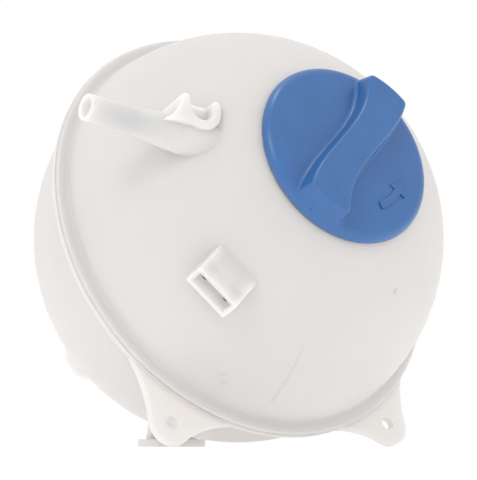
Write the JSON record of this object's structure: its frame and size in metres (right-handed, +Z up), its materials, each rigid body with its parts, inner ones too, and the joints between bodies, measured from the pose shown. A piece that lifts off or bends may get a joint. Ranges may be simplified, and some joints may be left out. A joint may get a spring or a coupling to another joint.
{
  "type": "coolant expansion tank",
  "caption": "Ball-shaped coolant expansion tank of two welded shells with a screw-in pressure cap, vent and hose nozzles, sensor socket and mounting ears.",
  "frame": {"origin": "centre of the rear foot's sole, on the surface the tank stands on", "axes": "+Z up; the filler cap faces -Y and is tipped up from it; +X to the right as seen from the cap"},
  "size_m": [0.1865, 0.1973, 0.1607],
  "materials": {
    "tank_plastic": "translucent moulded, satin",
    "cap_plastic": "moulded, satin blue",
    "valve_plastic": "moulded, black",
    "seal_rubber": "matte",
    "spring_steel": "drawn wire",
    "electrode_steel": "drawn rod"
  },
  "bodies": {
    "tank": {"upper_shell": "tank_plastic", "lower_shell": "tank_plastic", "level_electrode_left": "electrode_steel", "level_electrode_right": "electrode_steel"},
    "cartridge": {"valve_housing": "valve_plastic", "housing_o_ring": "seal_rubber", "spring_retainer": "valve_plastic", "pressure_spring": "spring_steel"},
    "cap": {"cap_body": "cap_plastic", "cap_gasket": "seal_rubber"},
    "pressure_valve": {"pressure_valve_plate": "valve_plastic", "pressure_valve_seal": "seal_rubber", "vacuum_spring": "spring_steel"},
    "vacuum_valve": {"vacuum_valve_plunger": "valve_plastic", "vacuum_valve_seal": "seal_rubber", "vacuum_spring_clip": "spring_steel"}
  },
  "joints": [
    {"name": "cap_lift", "type": "slide", "parent": "tank", "child": "cartridge", "axis": [0, -0.9171, 0.3987], "range_m": [0, 0.009]},
    {"name": "cap_turn", "type": "hinge", "parent": "cartridge", "child": "cap", "pos_m": [0, -0.0435, 0.08075], "axis": [0, -0.9171, 0.3987], "range_deg": [0, 540]},
    {"name": "pressure_valve_lift", "type": "slide", "parent": "cartridge", "child": "pressure_valve", "axis": [0, -0.9171, 0.3987], "range_m": [0, 0.003], "stiffness_N_per_m": 2000, "springref_m": -0.004, "deforming": ["pressure_spring"]},
    {"name": "vacuum_valve_drop", "type": "slide", "parent": "pressure_valve", "child": "vacuum_valve", "axis": [0, 0.9171, -0.3987], "range_m": [0, 0.002], "stiffness_N_per_m": 200, "springref_m": -0.002, "deforming": ["vacuum_spring"]}
  ],
  "couplings": [
    {"joint": "cap_turn", "follows": "cap_lift", "rad_per_m": 1047.2}
  ]
}
